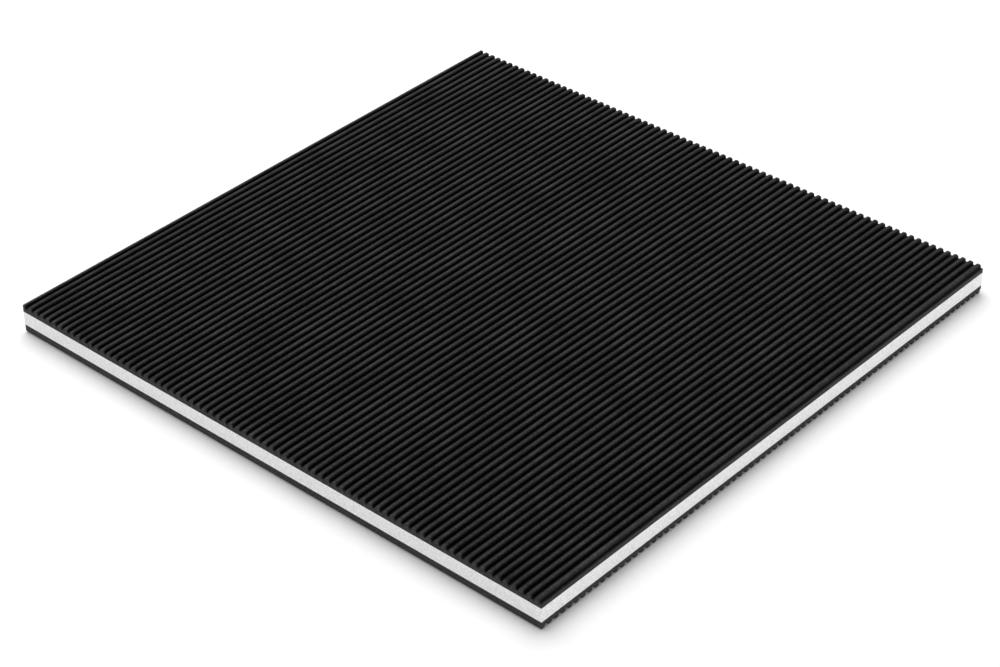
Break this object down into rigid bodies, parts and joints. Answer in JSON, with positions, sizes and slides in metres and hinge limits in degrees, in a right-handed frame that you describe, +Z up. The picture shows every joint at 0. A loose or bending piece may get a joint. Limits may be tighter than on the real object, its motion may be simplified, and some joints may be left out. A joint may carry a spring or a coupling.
{
  "type": "anti vibration machine pad",
  "caption": "Square anti-vibration pad: a white foam core bonded between black ribbed rubber sheets whose ribs cross at a right angle, laid under a machine to damp vibration.",
  "frame": {"origin": "middle of the pad's underside, on the plane of the bottom ribs' crests", "axes": "+Z up through the thickness, X along the top ribs, Y along the bottom ribs"},
  "size_m": [0.4572, 0.4572, 0.0222],
  "materials": {
    "rubber": "satin, ribbed",
    "foam": "matte, fine closed cells"
  },
  "bodies": {
    "root": {"bottom_ribbed_sheet": "rubber", "foam_core": "foam", "top_ribbed_sheet": "rubber"}
  },
  "joints": []
}
